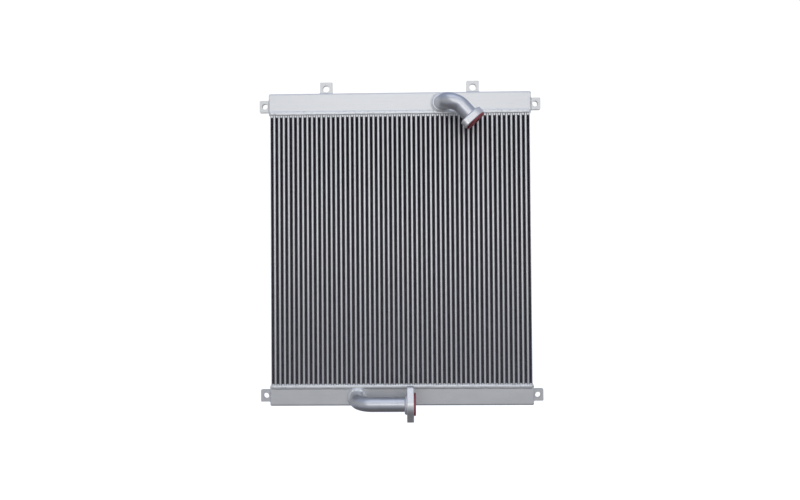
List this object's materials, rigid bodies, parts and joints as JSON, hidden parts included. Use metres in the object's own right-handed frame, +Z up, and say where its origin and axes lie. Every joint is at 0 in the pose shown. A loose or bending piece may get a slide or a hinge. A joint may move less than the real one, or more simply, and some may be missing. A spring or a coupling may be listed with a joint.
{
  "type": "hydraulic oil cooler",
  "caption": "Bar-and-plate aluminium oil cooler: upright finned core between two welded tanks, bolt tabs round the edge, and bent flanged ports closed by red caps.",
  "frame": {"origin": "centre of the four side tab holes, on the front face of the tabs", "axes": "+X across the core from the lower pipe's root towards its flange, -Y out of the face that the ports stand on, +Z up from the outlet tank to the inlet tank"},
  "size_m": [0.869, 0.203, 1.023],
  "materials": {
    "tank_plate": "mill-finish plate, softly brushed",
    "core_bar": "brazed bar and sheet, satin",
    "fin_strip": "thin folded strip, dark in its channels",
    "tab_plate": "cut plate, mill finish",
    "pipe_tube": "smooth drawn tube, semi-bright",
    "machined_flange": "turned and milled",
    "weld_bead": "rippled bead, bright",
    "red_plastic": "moulded, slightly glossy"
  },
  "bodies": {
    "cooler": {"air_fins": "fin_strip", "bottom_air_bars": "core_bar", "bottom_left_side_tab": "tab_plate", "bottom_right_side_tab": "tab_plate", "bottom_tank_end_welds": "weld_bead", "bottom_tank_left_end": "tank_plate", "bottom_tank_right_end": "tank_plate", "bottom_tank_seam_weld": "weld_bead", "bottom_tank_shell": "tank_plate", "front_oil_bars": "core_bar", "left_side_plate": "core_bar", "lower_flange": "machined_flange", "lower_flange_weld": "weld_bead", "lower_pipe": "pipe_tube", "lower_root_weld": "weld_bead", "oil_turbulators": "fin_strip", "parting_sheets": "core_bar", "rear_oil_bars": "core_bar", "right_side_plate": "core_bar", "side_tab_welds": "weld_bead", "top_air_bars": "core_bar", "top_left_side_tab": "tab_plate", "top_left_tab": "tab_plate", "top_right_side_tab": "tab_plate", "top_right_tab": "tab_plate", "top_tab_welds": "weld_bead", "top_tank_end_welds": "weld_bead", "top_tank_left_end": "tank_plate", "top_tank_right_end": "tank_plate", "top_tank_seam_weld": "weld_bead", "top_tank_shell": "tank_plate", "upper_flange": "machined_flange", "upper_flange_weld": "weld_bead", "upper_pipe": "pipe_tube", "upper_pipe_collar": "machined_flange", "upper_root_weld": "weld_bead"},
    "upper_cap": {"upper_port_cap": "red_plastic"},
    "lower_cap": {"lower_port_cap": "red_plastic"}
  },
  "joints": [
    {"name": "upper_cap_pull", "type": "slide", "parent": "cooler", "child": "upper_cap", "axis": [0.6756, 0, -0.7373], "range_m": [0, 0.06]},
    {"name": "lower_cap_pull", "type": "slide", "parent": "cooler", "child": "lower_cap", "axis": [1, 0, 0], "range_m": [0, 0.06]}
  ]
}
